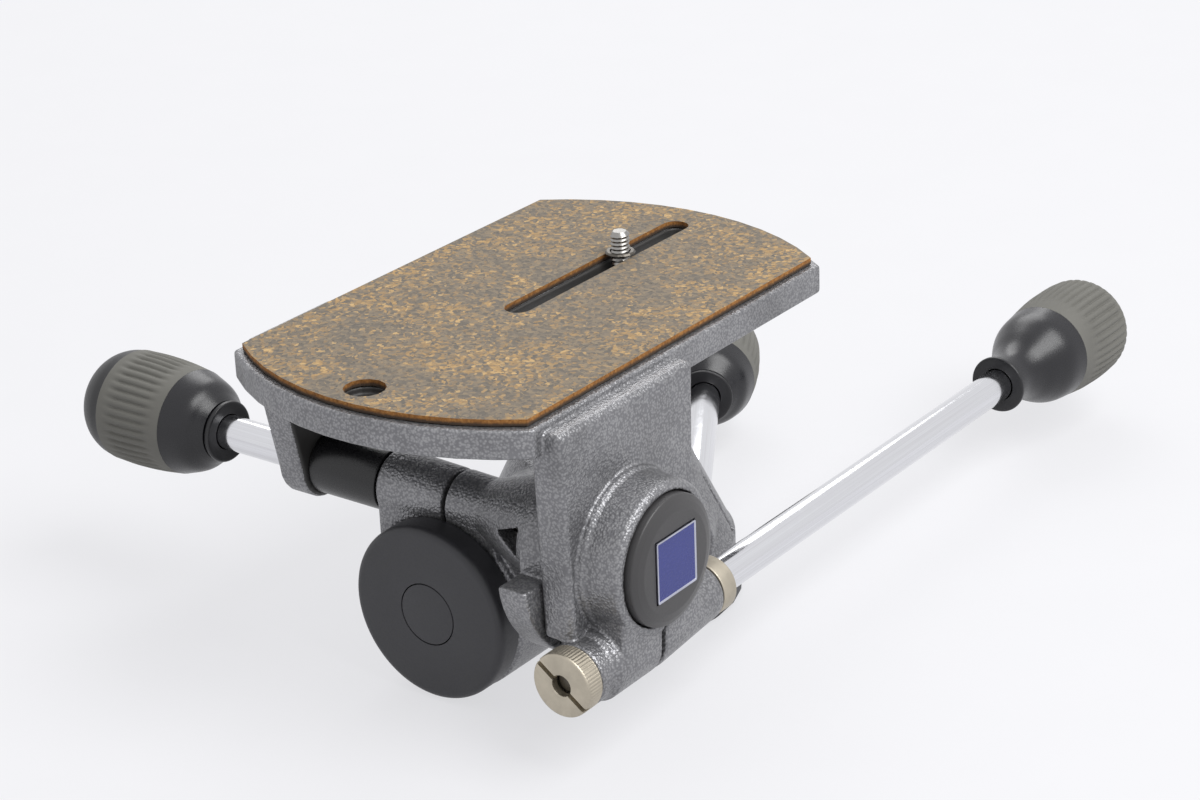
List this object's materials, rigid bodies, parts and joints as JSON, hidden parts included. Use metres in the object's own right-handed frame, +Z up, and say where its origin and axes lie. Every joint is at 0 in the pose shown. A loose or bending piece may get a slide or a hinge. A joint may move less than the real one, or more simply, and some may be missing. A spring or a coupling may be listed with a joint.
{
  "type": "three-way tripod head",
  "caption": "Three-way tripod head: cork-topped platform on a clamped yoke, side-tilting ring body, turning base and long and short clamp handles with bulb knobs.",
  "frame": {"origin": "middle of the underside: the bounding box's bottom centre", "axes": "+X along the platform from its front end to the long handle's side, +Y towards the short side handle, +Z up"},
  "size_m": [0.3386, 0.2282, 0.1164],
  "materials": {
    "hammertone_casting": "grey hammertone paint on cast aluminium",
    "cork": "rubber-bonded cork, flecked brown and grey",
    "black_plastic": "satin black",
    "grip_rubber": "matt warm grey",
    "chrome_rod": "polished chrome",
    "beige_metal": "dull yellowish plating",
    "steel": "turned steel",
    "bare_aluminium": "turned aluminium",
    "brass": "turned brass",
    "nylon": "natural nylon",
    "blue_plate": "plain blue, no marking"
  },
  "bodies": {
    "base": {"base_plate": "hammertone_casting", "pan_spindle": "steel", "tripod_bushing": "brass", "base_screw_1": "steel", "base_screw_2": "steel", "base_screw_3": "steel", "spindle_retainer": "steel", "retainer_screw": "steel"},
    "pan_body": {"pan_casting": "hammertone_casting", "pan_top_cap": "black_plastic", "pan_clamp_nut": "beige_metal", "side_tilt_shaft": "bare_aluminium", "front_cover": "black_plastic", "cover_plug": "black_plastic", "cover_screw": "steel"},
    "tilt_body": {"ring_body": "hammertone_casting", "side_tilt_liner": "nylon", "side_clamp_insert": "brass", "front_tilt_axle": "steel", "spacer_sleeve": "black_plastic"},
    "platform": {"platform_casting": "hammertone_casting", "cork_pad": "cork", "hub_cap": "black_plastic", "blank_badge": "blue_plate", "far_pivot_bush": "nylon", "slotted_nut": "beige_metal", "clamp_washer": "beige_metal"},
    "handle_1": {"handle_rod_1": "chrome_rod", "knob_collar_1": "black_plastic", "knob_body_1": "black_plastic", "knob_grip_1": "grip_rubber", "knob_cap_1": "black_plastic"},
    "handle_2": {"handle_rod_2": "chrome_rod", "knob_collar_2": "black_plastic", "knob_body_2": "black_plastic", "knob_grip_2": "grip_rubber", "knob_cap_2": "black_plastic"},
    "handle_3": {"handle_rod_3": "chrome_rod", "knob_collar_3": "black_plastic", "knob_body_3": "black_plastic", "knob_grip_3": "grip_rubber", "knob_cap_3": "black_plastic"},
    "screw_slider": {"screw_carrier": "steel", "screw_keeper": "steel"},
    "camera_screw": {"camera_screw": "steel", "camera_screw_knob": "black_plastic"}
  },
  "joints": [
    {"name": "pan", "type": "hinge", "parent": "base", "child": "pan_body", "pos_m": [-0.04843, -0.03384, 0.0054], "axis": [0, 0, 1], "continuous": true},
    {"name": "side_tilt", "type": "hinge", "parent": "pan_body", "child": "tilt_body", "pos_m": [-0.11843, -0.03384, 0.0284], "axis": [1, 0, 0], "range_deg": [-90, 90]},
    {"name": "front_tilt", "type": "hinge", "parent": "tilt_body", "child": "platform", "pos_m": [-0.11843, -0.03384, 0.0589], "axis": [0, 1, 0], "range_deg": [-90, 12]},
    {"name": "clamp_1_turn", "type": "hinge", "parent": "platform", "child": "handle_1", "pos_m": [-0.07773, -0.09584, 0.0309], "axis": [1, 0, 0], "range_deg": [0, 360]},
    {"name": "clamp_2_turn", "type": "hinge", "parent": "tilt_body", "child": "handle_2", "pos_m": [-0.11843, -0.00884, 0.0589], "axis": [0, 1, 0], "range_deg": [0, 360]},
    {"name": "clamp_3_turn", "type": "hinge", "parent": "pan_body", "child": "handle_3", "pos_m": [-0.02669, -0.05334, 0.0265], "axis": [0.8517, 0.524, 0], "range_deg": [0, 360]},
    {"name": "screw_slide", "type": "slide", "parent": "platform", "child": "screw_slider", "axis": [1, 0, 0], "range_m": [-0.052, 0.03]},
    {"name": "screw_turn", "type": "hinge", "parent": "screw_slider", "child": "camera_screw", "pos_m": [-0.03443, -0.03384, 0.1008], "axis": [0, 0, 1], "continuous": true}
  ]
}
